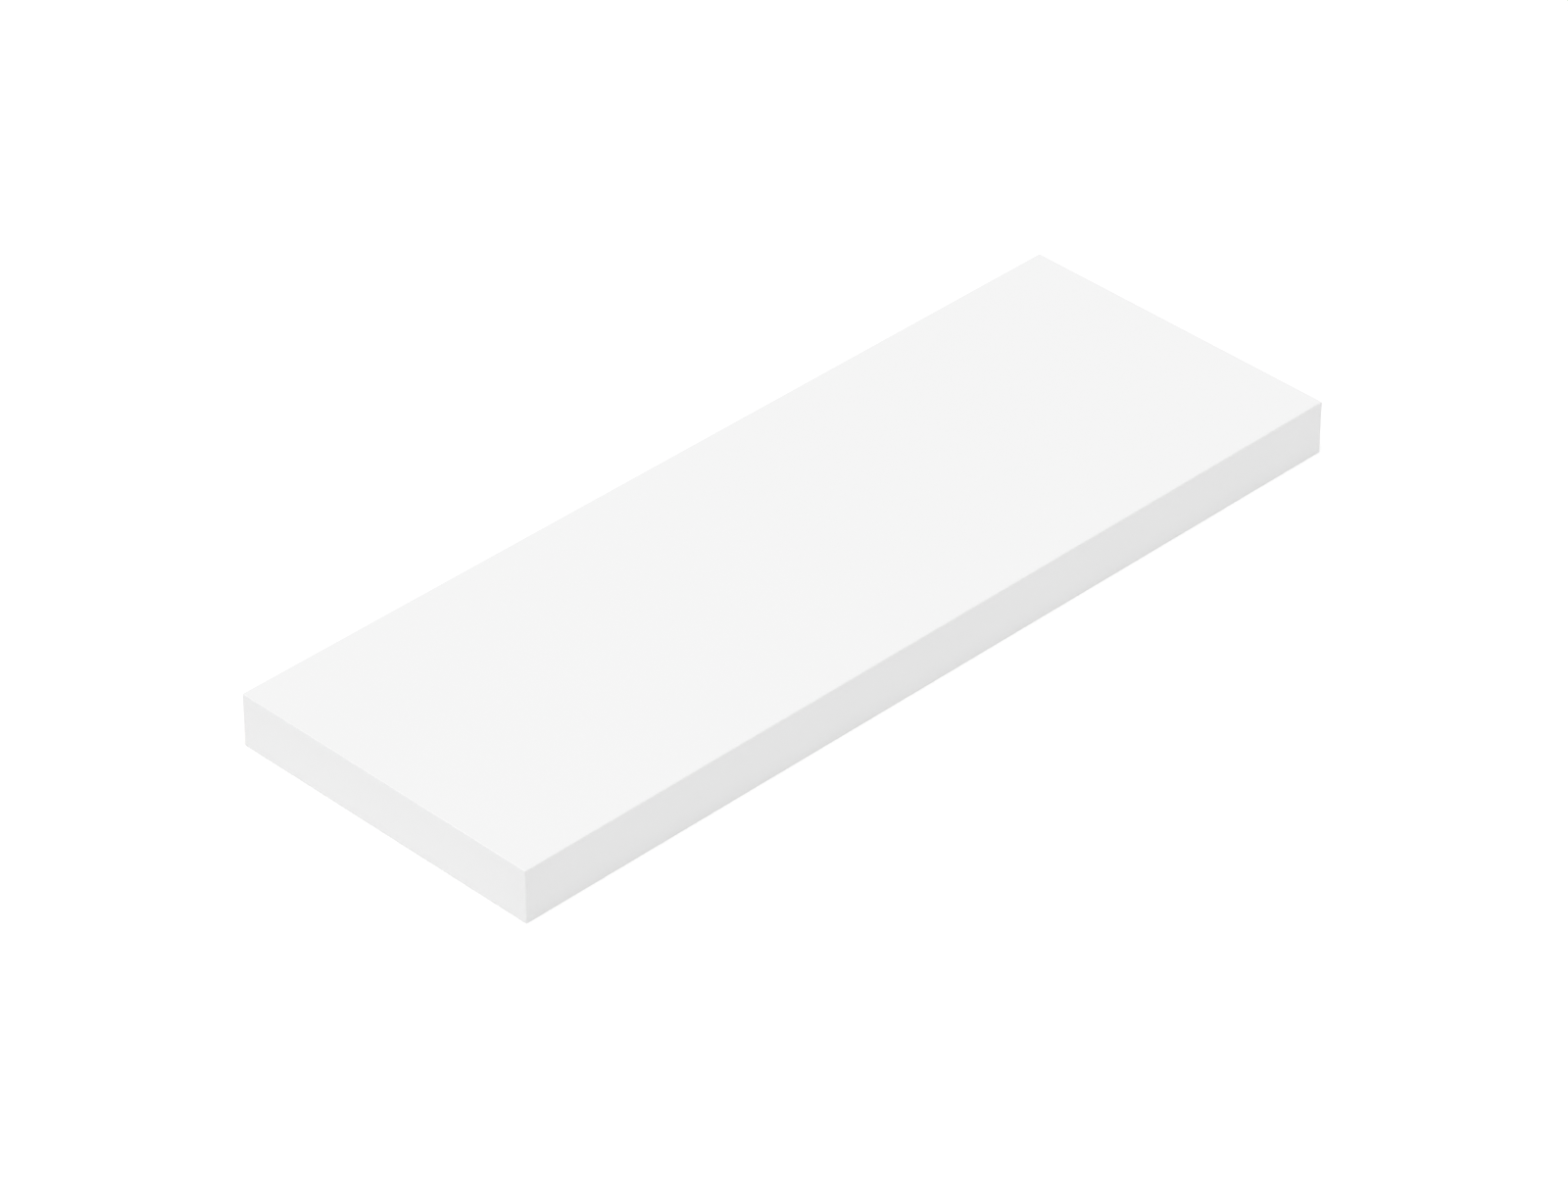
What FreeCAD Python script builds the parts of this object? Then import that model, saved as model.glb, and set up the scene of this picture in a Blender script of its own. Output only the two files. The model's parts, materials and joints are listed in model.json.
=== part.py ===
"""Floating wall shelf: a hollow-core laminated board that slides onto a hidden steel bracket.

The board is a glued sandwich. A frame of particleboard rails and four bored timber ribs is filled
with paper honeycomb, closed by two fibreboard skins with a white laminate, and edged with plastic
band on the front and both ends. The ribs run through to the recess at the back, with the rear rail
in lengths between them. The bracket is a steel flat bar with four welded rods. The rods run into
the ribs, and two set screws lock the board to the outer rods from below.

Units are millimetres. X runs along the shelf, +Y points at the wall and +Z up. The origin is on the
wall plane, at the middle of the bracket's back face and of the board's thickness.
"""

import FreeCAD, Part  # noqa: E401  FreeCAD has to be imported before Part
import math
import os

# Board, outside
BOARD_LENGTH = 900.0
BOARD_DEPTH = 320.0
BOARD_THICKNESS = 50.0
ARRIS_RADIUS = 0.6  # rounding of the edge band's outer edges

# Board, inside
BAND_THICKNESS = 1.0
LAMINATE_THICKNESS = 0.3
SKIN_THICKNESS = 3.7
RAIL_WIDTH = 40.0
RIB_WIDTH = 50.0
RECESS_DEPTH = 12.0  # room behind the rear rail for the wall plate and its screw heads

# Paper honeycomb
CELL_PITCH = 24.0
PAPER_THICKNESS = 0.4
FIRST_CELL = (-0.75, -0.6)  # first cell's middle from a bay's front left corner, in cell pitches and rows

# Wall bracket
PLATE_LENGTH = 810.0
PLATE_HEIGHT = 40.0
PLATE_THICKNESS = 6.0
PLATE_CORNER = 3.0
PLATE_EDGE = 0.5  # chamfer on the plate's front edges
ROD_RADIUS = 7.0
ROD_REACH = 236.0  # from the wall to the rod's tip
ROD_CHAMFER = 2.0
ROD_SPACING = 220.0
WELD_LEG = 3.5
SLOT_WIDTH = 7.0
SLOT_LENGTH = 20.0
SLOT_SPACING = 150.0
END_HOLE_RADIUS = 3.25
END_HOLE_X = 385.0

# Fits
ROD_BORE_CLEARANCE = 0.35  # radial, rod in rib
BORE_END_CLEARANCE = 6.0  # from the rod's tip to the end of the rib's blind bore
DRILL_POINT_ANGLE = 118.0  # degrees, full angle
WELD_GAP = 0.03  # keeps round faces of welded pieces from cutting into each other
GLUE_GAP = 0.1  # the same for the inserts, which are glued in

# Locking screws and their threaded inserts
INSERT_FLANGE_RADIUS = 7.5
INSERT_FLANGE_THICKNESS = 1.5
INSERT_BARREL_RADIUS = 5.0
INSERT_LENGTH = 13.5
THREAD_BORE_RADIUS = 3.02
SCREW_RADIUS = 2.97
SCREW_LENGTH = 16.0
SCREW_HOLE_CLEARANCE = 0.4  # radial, above the insert
SCREW_TIP_GAP = 0.3  # left between the tightened screw and the rod
SCREW_CHAMFER = 0.6
SOCKET_ACROSS_FLATS = 3.0
SOCKET_DEPTH = 3.0

# Worked out from the above
HALF_LENGTH = BOARD_LENGTH / 2
HALF_THICKNESS = BOARD_THICKNESS / 2
CORE_HALF_LENGTH = HALF_LENGTH - BAND_THICKNESS
CORE_FRONT = -BOARD_DEPTH + BAND_THICKNESS
SKIN_OUTSIDE = HALF_THICKNESS - LAMINATE_THICKNESS
RAIL_TOP = SKIN_OUTSIDE - SKIN_THICKNESS
FRONT_RAIL_BACK = CORE_FRONT + RAIL_WIDTH
SIDE_RAIL_INSIDE = CORE_HALF_LENGTH - RAIL_WIDTH
REAR_RAIL_FRONT = -RECESS_DEPTH - RAIL_WIDTH
ROD_BORE_RADIUS = ROD_RADIUS + ROD_BORE_CLEARANCE
LOCK_Y = (REAR_RAIL_FRONT - RECESS_DEPTH) / 2
INSERT_TOP = -HALF_THICKNESS + INSERT_LENGTH
SCREW_TOP = -ROD_RADIUS - SCREW_TIP_GAP

ROD_X = {
    "far_left": -1.5 * ROD_SPACING,
    "near_left": -0.5 * ROD_SPACING,
    "near_right": 0.5 * ROD_SPACING,
    "far_right": 1.5 * ROD_SPACING,
}
LOCK_X = {"left": ROD_X["far_left"], "right": ROD_X["far_right"]}
BAY_NAMES = ["far_left", "near_left", "centre", "near_right", "far_right"]

UP = FreeCAD.Vector(0, 0, 1)
TO_FRONT = FreeCAD.Vector(0, -1, 0)


def box_between(x_span, y_span, z_span):
    """A box that fills three (low, high) spans."""
    spans = (x_span, y_span, z_span)
    sizes = [high - low for low, high in spans]
    return Part.makeBox(*sizes, FreeCAD.Vector(*[low for low, _ in spans]))


def y_cylinder(radius, x, z, back, front):
    """A cylinder along Y, from its back end to its front end."""
    return Part.makeCylinder(radius, back - front, FreeCAD.Vector(x, back, z), TO_FRONT)


def z_cylinder(radius, x, y, bottom, top):
    """A cylinder along Z."""
    return Part.makeCylinder(radius, top - bottom, FreeCAD.Vector(x, y, bottom), UP)


def turned(points, centre, axis):
    """A solid of revolution, from the (radius, distance along the axis) points round its section."""
    across = FreeCAD.Vector(1, 0, 0)
    corners = [centre + across * radius + axis * along for radius, along in points]
    section = Part.Face(Part.makePolygon(corners + corners[:1]))
    return section.revolve(centre, axis, 360)


def save(name, shape):
    """Writes one node and prints its volume, as a check on the model."""
    solids = shape.Solids
    if not shape.isValid() or not solids:
        raise ValueError(f"{name} is not a valid solid")
    kept = solids[0] if len(solids) == 1 else Part.makeCompound(solids)
    kept.exportStep(f"parts/{name}.step")
    print(f"{name}: {len(solids)} solid(s), {shape.Volume / 1000:.1f} cm3")


def board_envelope():
    """The finished board's outside, rounded along every edge except those at the wall."""
    whole = box_between(
        (-HALF_LENGTH, HALF_LENGTH), (-BOARD_DEPTH, 0), (-HALF_THICKNESS, HALF_THICKNESS)
    )
    away_from_wall = [e for e in whole.Edges if e.BoundBox.YMax < -1 or e.BoundBox.YLength > 1]
    return whole.makeFillet(ARRIS_RADIUS, away_from_wall)


def edge_bands():
    """Plastic band: one along the front, one on each end butted against it."""
    envelope = board_envelope()
    heights = (-HALF_THICKNESS, HALF_THICKNESS)
    front = box_between((-HALF_LENGTH, HALF_LENGTH), (-BOARD_DEPTH, CORE_FRONT), heights)
    left = box_between((-HALF_LENGTH, -CORE_HALF_LENGTH), (CORE_FRONT, 0), heights)
    right = box_between((CORE_HALF_LENGTH, HALF_LENGTH), (CORE_FRONT, 0), heights)
    return {
        "front_edge_band": front.common(envelope),
        "left_edge_band": left.common(envelope),
        "right_edge_band": right.common(envelope),
    }


def core_sheet(bottom, top):
    """A sheet that covers the whole core between the edge bands."""
    return box_between((-CORE_HALF_LENGTH, CORE_HALF_LENGTH), (CORE_FRONT, 0), (bottom, top))


def insert_seats(radius, bottom, top):
    """The two holes that an insert's flange or barrel sits in."""
    holes = [z_cylinder(radius + GLUE_GAP, x, LOCK_Y, bottom, top) for x in LOCK_X.values()]
    return Part.makeCompound(holes)


def skins():
    """Fibreboard skins and their laminate. The lower pair is bored for the locking inserts."""
    flange_top = -HALF_THICKNESS + INSERT_FLANGE_THICKNESS
    flange_seat = insert_seats(INSERT_FLANGE_RADIUS, -BOARD_THICKNESS, flange_top)
    barrel_seat = insert_seats(INSERT_BARREL_RADIUS, -BOARD_THICKNESS, 0)
    bottom_skin = core_sheet(-SKIN_OUTSIDE, -RAIL_TOP)
    return {
        "top_laminate": core_sheet(SKIN_OUTSIDE, HALF_THICKNESS),
        "top_skin": core_sheet(RAIL_TOP, SKIN_OUTSIDE),
        "bottom_skin": bottom_skin.cut(flange_seat).cut(barrel_seat),
        "bottom_laminate": core_sheet(-HALF_THICKNESS, -SKIN_OUTSIDE).cut(flange_seat),
    }


def bays():
    """The left and right sides of each space between the ribs and the side rails, by name."""
    rib_sides = [x + side * RIB_WIDTH / 2 for x in ROD_X.values() for side in (-1, 1)]
    sides = [-SIDE_RAIL_INSIDE, *rib_sides, SIDE_RAIL_INSIDE]
    return dict(zip(BAY_NAMES, zip(sides[0::2], sides[1::2])))


def rails():
    """The particleboard frame, with its rear rail in lengths between the ribs."""
    heights = (-RAIL_TOP, RAIL_TOP)
    frame = {
        "front_rail": box_between(
            (-CORE_HALF_LENGTH, CORE_HALF_LENGTH), (CORE_FRONT, FRONT_RAIL_BACK), heights
        ),
        "left_rail": box_between(
            (-CORE_HALF_LENGTH, -SIDE_RAIL_INSIDE), (FRONT_RAIL_BACK, 0), heights
        ),
        "right_rail": box_between(
            (SIDE_RAIL_INSIDE, CORE_HALF_LENGTH), (FRONT_RAIL_BACK, 0), heights
        ),
    }
    for name, span in bays().items():
        frame[f"rear_rail_{name}"] = box_between(span, (REAR_RAIL_FRONT, -RECESS_DEPTH), heights)
    return frame


def rib(x):
    """A timber rib from the front rail to the recess, with a blind bore for one rod."""
    body = box_between(
        (x - RIB_WIDTH / 2, x + RIB_WIDTH / 2), (FRONT_RAIL_BACK, -RECESS_DEPTH), (-RAIL_TOP, RAIL_TOP)
    )
    bore_end = -ROD_REACH - BORE_END_CLEARANCE
    drill_point = ROD_BORE_RADIUS / math.tan(math.radians(DRILL_POINT_ANGLE / 2))
    profile = [
        (0, 0),
        (ROD_BORE_RADIUS, 0),
        (ROD_BORE_RADIUS, -bore_end),
        (0, -bore_end + drill_point),
    ]
    return body.cut(turned(profile, FreeCAD.Vector(x, 0, 0), TO_FRONT))


def ribs():
    """The four ribs. The outer two are also bored from below for an insert and its screw."""
    seats = insert_seats(INSERT_BARREL_RADIUS, -BOARD_THICKNESS, INSERT_TOP)
    radius = SCREW_RADIUS + SCREW_HOLE_CLEARANCE
    screw_holes = [z_cylinder(radius, x, LOCK_Y, INSERT_TOP, 0) for x in LOCK_X.values()]
    bored_from_below = [seats, Part.makeCompound(screw_holes)]
    made = {}
    for name, x in ROD_X.items():
        made[f"rib_{name}"] = rib(x)
        for cutter in bored_from_below:
            made[f"rib_{name}"] = made[f"rib_{name}"].cut(cutter)
    return made


def hexagon(x, y, across_flats):
    """A flat hexagon with two corners along Y."""
    reach = across_flats / math.sqrt(3)
    turns = [math.radians(30 + 60 * k) for k in range(6)]
    corners = [FreeCAD.Vector(x + reach * math.cos(t), y + reach * math.sin(t), 0) for t in turns]
    return Part.Face(Part.makePolygon(corners + corners[:1]))


def honeycomb(left, right):
    """Paper honeycomb for the bay between two X positions, as tall as the rails.

    Loose corners that the bay's outline cuts off the paper are left out.
    """
    front, back = FRONT_RAIL_BACK, REAR_RAIL_FRONT
    row_pitch = CELL_PITCH * math.sqrt(3) / 2
    rows = int((back - front) / row_pitch) + 3
    columns = int((right - left) / CELL_PITCH) + 3
    cells = []
    for row in range(rows):
        for column in range(columns):
            x = left + (FIRST_CELL[0] + column + 0.5 * (row % 2)) * CELL_PITCH
            y = front + (FIRST_CELL[1] + row) * row_pitch
            cells.append(hexagon(x, y, CELL_PITCH - PAPER_THICKNESS))
    corners = [(left, front), (right, front), (right, back), (left, back), (left, front)]
    field = Part.Face(Part.makePolygon([FreeCAD.Vector(x, y, 0) for x, y in corners]))
    walls = field.cut(Part.makeCompound(cells))
    walls.translate(UP * -RAIL_TOP)
    return max(walls.Faces, key=lambda face: face.Area).extrude(UP * 2 * RAIL_TOP)


def honeycomb_bays():
    """One block of honeycomb for each space between rails and ribs."""
    return {f"honeycomb_{name}": honeycomb(*span) for name, span in bays().items()}


def slot(x):
    """A horizontal slot through the wall plate, as a cutter."""
    radius = SLOT_WIDTH / 2
    half_run = SLOT_LENGTH / 2 - radius
    run = box_between((x - half_run, x + half_run), (-2 * PLATE_THICKNESS, 1), (-radius, radius))
    ends = [y_cylinder(radius, x + side * half_run, 0, 1, -2 * PLATE_THICKNESS) for side in (-1, 1)]
    return run.fuse(ends).removeSplitter()


def wall_plate():
    """The flat bar that is screwed to the wall, with slots, end holes and holes for the rods."""
    half_length, half_height = PLATE_LENGTH / 2, PLATE_HEIGHT / 2
    bar = box_between((-half_length, half_length), (-PLATE_THICKNESS, 0), (-half_height, half_height))
    upright_corners = [e for e in bar.Edges if abs(e.BoundBox.YLength - PLATE_THICKNESS) < 0.01]
    bar = bar.makeFillet(PLATE_CORNER, upright_corners)
    front_edges = [e for e in bar.Edges if e.BoundBox.YMax < -PLATE_THICKNESS + 0.01]
    bar = bar.makeChamfer(PLATE_EDGE, front_edges)
    cutters = [slot(SLOT_SPACING * step) for step in (-1.5, -0.5, 0.5, 1.5)]
    cutters += [y_cylinder(END_HOLE_RADIUS, s * END_HOLE_X, 0, 1, -2 * PLATE_THICKNESS) for s in (-1, 1)]
    cutters += [y_cylinder(ROD_RADIUS + WELD_GAP, x, 0, 1, -2 * PLATE_THICKNESS) for x in ROD_X.values()]
    return bar.cut(Part.makeCompound(cutters))


def rod(x):
    """A support rod, flush with the plate's back, with a chamfered tip."""
    profile = [
        (0, 0),
        (ROD_RADIUS, 0),
        (ROD_RADIUS, ROD_REACH - ROD_CHAMFER),
        (ROD_RADIUS - ROD_CHAMFER, ROD_REACH),
        (0, ROD_REACH),
    ]
    return turned(profile, FreeCAD.Vector(x, 0, 0), TO_FRONT)


def rod_welds():
    """A fillet weld round each rod on the plate's front."""
    inside = ROD_RADIUS + WELD_GAP
    profile = [
        (inside, PLATE_THICKNESS),
        (inside + WELD_LEG, PLATE_THICKNESS),
        (inside, PLATE_THICKNESS + WELD_LEG),
    ]
    beads = [turned(profile, FreeCAD.Vector(x, 0, 0), TO_FRONT) for x in ROD_X.values()]
    return Part.makeCompound(beads)


def threaded_insert(x):
    """A flanged insert, set in from below until its flange is flush with the laminate."""
    profile = [
        (THREAD_BORE_RADIUS, 0),
        (INSERT_FLANGE_RADIUS, 0),
        (INSERT_FLANGE_RADIUS, INSERT_FLANGE_THICKNESS),
        (INSERT_BARREL_RADIUS, INSERT_FLANGE_THICKNESS),
        (INSERT_BARREL_RADIUS, INSERT_LENGTH),
        (THREAD_BORE_RADIUS, INSERT_LENGTH),
    ]
    return turned(profile, FreeCAD.Vector(x, LOCK_Y, -HALF_THICKNESS), UP)


def lock_screw(x):
    """A cup-point set screw with a hex socket at its lower end."""
    cup_radius = SCREW_RADIUS - 2 * SCREW_CHAMFER
    profile = [
        (0, 0),
        (SCREW_RADIUS - SCREW_CHAMFER, 0),
        (SCREW_RADIUS, SCREW_CHAMFER),
        (SCREW_RADIUS, SCREW_LENGTH - SCREW_CHAMFER),
        (SCREW_RADIUS - SCREW_CHAMFER, SCREW_LENGTH),
        (cup_radius, SCREW_LENGTH),
        (0, SCREW_LENGTH - cup_radius),
    ]
    bottom = SCREW_TOP - SCREW_LENGTH
    body = turned(profile, FreeCAD.Vector(x, LOCK_Y, bottom), UP)
    socket = hexagon(x, LOCK_Y, SOCKET_ACROSS_FLATS)
    socket.translate(UP * bottom)
    return body.cut(socket.extrude(UP * SOCKET_DEPTH))


def build():
    """Every node of the shelf, by name."""
    nodes = {**edge_bands(), **skins(), **rails(), **ribs(), **honeycomb_bays()}
    for name, x in ROD_X.items():
        nodes[f"rod_{name}"] = rod(x)
    for side, x in LOCK_X.items():
        nodes[f"insert_{side}"] = threaded_insert(x)
        nodes[f"lock_screw_{side}"] = lock_screw(x)
    nodes["wall_plate"] = wall_plate()
    nodes["rod_welds"] = rod_welds()
    return nodes


os.makedirs("parts", exist_ok=True)
for node_name, node_shape in build().items():
    save(node_name, node_shape)
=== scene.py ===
"""Looks of a floating wall shelf: a white laminated board on a hidden steel bracket.

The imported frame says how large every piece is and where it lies. The board, the bracket and the
locking set are each a class that makes its finer meshes, dresses the frame's own nodes and hands
each piece to the body it moves with. All lengths are in metres.
"""

import json
import logging
import math
from abc import ABC, abstractmethod
from collections.abc import Callable, Iterable, Iterator, Mapping, Sequence
from dataclasses import dataclass, field, replace
from enum import Enum
from functools import cache
from itertools import pairwise
from typing import Any

import bmesh
import bpy
from mathutils import Matrix, Vector, noise


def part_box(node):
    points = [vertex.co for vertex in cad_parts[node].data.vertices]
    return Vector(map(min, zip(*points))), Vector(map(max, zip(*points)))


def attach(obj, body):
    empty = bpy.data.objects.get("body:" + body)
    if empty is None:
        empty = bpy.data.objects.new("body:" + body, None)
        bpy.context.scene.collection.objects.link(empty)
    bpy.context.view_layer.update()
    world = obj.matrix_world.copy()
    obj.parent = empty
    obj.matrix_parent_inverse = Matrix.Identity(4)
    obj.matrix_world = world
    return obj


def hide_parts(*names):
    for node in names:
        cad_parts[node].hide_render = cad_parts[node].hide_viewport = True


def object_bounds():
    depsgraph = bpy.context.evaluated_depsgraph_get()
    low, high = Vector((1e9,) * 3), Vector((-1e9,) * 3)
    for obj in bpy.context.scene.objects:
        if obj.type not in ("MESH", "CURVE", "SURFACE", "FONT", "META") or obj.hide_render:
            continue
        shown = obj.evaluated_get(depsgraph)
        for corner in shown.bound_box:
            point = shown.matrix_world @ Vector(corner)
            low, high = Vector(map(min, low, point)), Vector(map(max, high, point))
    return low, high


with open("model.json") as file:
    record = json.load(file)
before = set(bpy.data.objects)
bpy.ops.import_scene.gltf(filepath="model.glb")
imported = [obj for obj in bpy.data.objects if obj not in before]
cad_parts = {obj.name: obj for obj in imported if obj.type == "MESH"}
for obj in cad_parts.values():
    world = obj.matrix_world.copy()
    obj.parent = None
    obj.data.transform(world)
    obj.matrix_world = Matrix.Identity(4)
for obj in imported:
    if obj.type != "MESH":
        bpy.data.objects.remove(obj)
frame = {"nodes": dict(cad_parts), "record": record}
cad_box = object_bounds()

LOG = logging.getLogger("floating_shelf")
MM = 0.001
QUARTER_TURN = math.pi / 2
FULL_TURN = 2 * math.pi
TOUCH = 0.0001 * MM  # points closer than this are one point
IN_PLANE = 10 * TOUCH  # points closer than this to a plane lie in it
ALIGNED = 0.9999  # cosine from which a face looks along an axis
MIX_FACTOR, MIX_FIRST, MIX_SECOND = 0, 6, 7  # places of a colour Mix node's inputs
MIX_RESULT = 2  # place of its output

Colour = tuple[float, float, float, float]
Span = tuple[float, float]
Profile = Sequence[tuple[float, float]]


class Body(Enum):
    """The rigid bodies that pieces ride on."""

    BRACKET = "wall_bracket"
    SHELF = "shelf"
    LOCK_LEFT = "lock_screw_left"
    LOCK_RIGHT = "lock_screw_right"


class Slot(Enum):
    """The record's material slots."""

    LAMINATE = "white_laminate"
    EDGE_BAND = "white_edge_band"
    FIBREBOARD = "fibreboard"
    PARTICLEBOARD = "particleboard"
    PINE = "pine"
    HONEYCOMB = "honeycomb_paper"
    STEEL = "bracket_steel"
    BRASS = "insert_brass"
    SCREW = "screw_steel"


class Axis(Enum):
    """The row's axes."""

    X = Vector((1, 0, 0))
    Y = Vector((0, 1, 0))
    Z = Vector((0, 0, 1))


class Side(Enum):
    """The shelf's two ends, as signs along X."""

    LEFT = -1
    RIGHT = 1

    @property
    def word(self) -> str:
        """The side's name as node names spell it."""
        return self.name.lower()


def mount(name: str) -> Mapping[str, Any]:
    """One of the record's mounts, by name."""
    return next(m for m in frame["record"]["mounts"] if m["name"] == name)


def middle(node: str) -> Vector:
    """The middle of a node's box."""
    low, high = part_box(node)
    return (low + high) / 2


def radius_of(node: str) -> float:
    """Half of a node's extent along X, which is the radius of a round one."""
    low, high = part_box(node)
    return (high.x - low.x) / 2


def grey(level: float) -> Colour:
    """A neutral colour of the given linear brightness."""
    return (level, level, level, 1.0)


def put_in_scene(name: str, data: bpy.types.ID) -> bpy.types.Object:
    """Links a new object into the scene.

    Args:
        name: The object's name.
        data: Its mesh, lamp or camera.

    Returns:
        The object.
    """
    made = bpy.data.objects.new(name, data)
    bpy.context.scene.collection.objects.link(made)
    return made


@dataclass(frozen=True)
class Grain:
    """A noise pattern of a finish: its look, and how far it changes the colour and roughness."""

    size: float
    detail: float = 2.0
    stretch: tuple[float, float, float] = (1, 1, 1)  # lumps are shorter by this along each axis
    span: Span = (0.0, 1.0)  # values between which its patches rise
    shade: float = 0.0
    dulling: float = 0.0


class Flow:
    """A shader socket that works in Python arithmetic: each operation adds a Math node."""

    def __init__(self, graph: "Graph", socket: bpy.types.NodeSocket) -> None:
        """Wraps one output socket of the graph."""
        self.graph = graph
        self.socket = socket

    def output(self, name: str) -> "Flow":
        """Another output of the same node."""
        return Flow(self.graph, self.socket.node.outputs[name])

    def _math(self, operation: str, *terms: "float | Flow") -> "Flow":
        """Adds a Math node that works on the terms in order."""
        return self.graph.node("Math", {"operation": operation}, dict(enumerate(terms)))

    def __add__(self, other: "float | Flow") -> "Flow":
        """self + other."""
        return self._math("ADD", self, other)

    def __radd__(self, other: float) -> "Flow":
        """other + self."""
        return self._math("ADD", other, self)

    def __sub__(self, other: "float | Flow") -> "Flow":
        """self - other."""
        return self._math("SUBTRACT", self, other)

    def __rsub__(self, other: float) -> "Flow":
        """other - self."""
        return self._math("SUBTRACT", other, self)

    def __mul__(self, other: "float | Flow") -> "Flow":
        """self * other."""
        return self._math("MULTIPLY", self, other)

    def __rmul__(self, other: float) -> "Flow":
        """other * self."""
        return self._math("MULTIPLY", other, self)

    def __pow__(self, other: "float | Flow") -> "Flow":
        """self ** other."""
        return self._math("POWER", self, other)

    def __abs__(self) -> "Flow":
        """abs(self)."""
        return self._math("ABSOLUTE", self)

    def sine(self) -> "Flow":
        """The sine of an angle in radians."""
        return self._math("SINE", self)

    def folded(self, length: float) -> "Flow":
        """The value folded back and forth between 0 and a length."""
        return self._math("PINGPONG", self, length)

    def swing(self, reach: float) -> "Flow":
        """How far the value is from one half, times the reach."""
        return (self - 0.5) * reach

    def weighed(self, share: float, other: "Flow") -> "Flow":
        """This value's share with the rest of another."""
        return self * share + other * (1 - share)

    def rise(self, low: float, high: float) -> "Flow":
        """A smooth step.

        Args:
            low: Value at which the step starts from 0.
            high: Value at which it reaches 1. It may be below low, and the step then falls.

        Returns:
            The step, from 0 to 1.
        """
        spans = {"Value": self, "From Min": low, "From Max": high}
        return self.graph.node("MapRange", {"interpolation_type": "SMOOTHSTEP"}, spans)


def hypotenuse(first: Flow, second: Flow) -> Flow:
    """The length of a line from its two legs."""
    return (first * first + second * second) ** 0.5


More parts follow.
